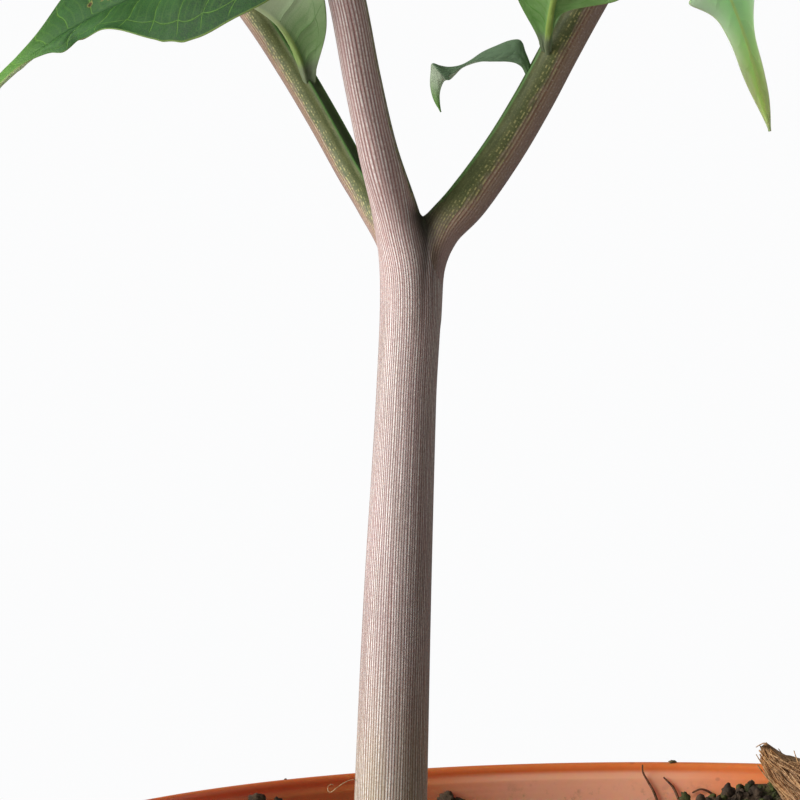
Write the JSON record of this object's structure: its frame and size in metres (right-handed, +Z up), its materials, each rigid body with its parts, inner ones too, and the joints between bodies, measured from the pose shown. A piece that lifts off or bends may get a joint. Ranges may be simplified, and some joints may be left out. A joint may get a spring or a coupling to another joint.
{
  "type": "potted amorphophallus longituberosus",
  "caption": "Potted aroid: a finely striped petiole forks into three rachises with pointed green leaflets, in a round terracotta-coloured plastic pot of soil.",
  "frame": {"origin": "centre of the pot's underside, on the surface that the pot stands on", "axes": "+Z up along the pot's axis; the camera of the picture looks along +Y, with +X to its right"},
  "size_m": [0.3319, 0.3279, 0.3861],
  "materials": {
    "pot": "satin",
    "soil": "matte",
    "husk": "matte",
    "stem": "satin",
    "leaf": "satin"
  },
  "bodies": {
    "root": {"pot": "pot", "soil": "soil", "husk_chunk": "husk", "petiole": "stem", "leaflet_front_1": "leaf", "leaflet_front_2": "leaf", "leaflet_front_3": "leaf", "leaflet_front_4": "leaf", "leaflet_front_5": "leaf", "leaflet_front_6": "leaf", "leaflet_front_7": "leaf", "leaflet_front_8": "leaf", "leaflet_left_1": "leaf", "leaflet_left_2": "leaf", "leaflet_left_3": "leaf", "leaflet_left_4": "leaf", "leaflet_left_5": "leaf", "leaflet_left_6": "leaf", "leaflet_left_7": "leaf", "leaflet_left_8": "leaf", "leaflet_right_1": "leaf", "leaflet_right_2": "leaf", "leaflet_right_3": "leaf", "leaflet_right_4": "leaf", "leaflet_right_5": "leaf", "leaflet_right_6": "leaf", "leaflet_right_7": "leaf", "leaflet_right_8": "leaf", "leaflet_right_9": "leaf"}
  },
  "joints": []
}
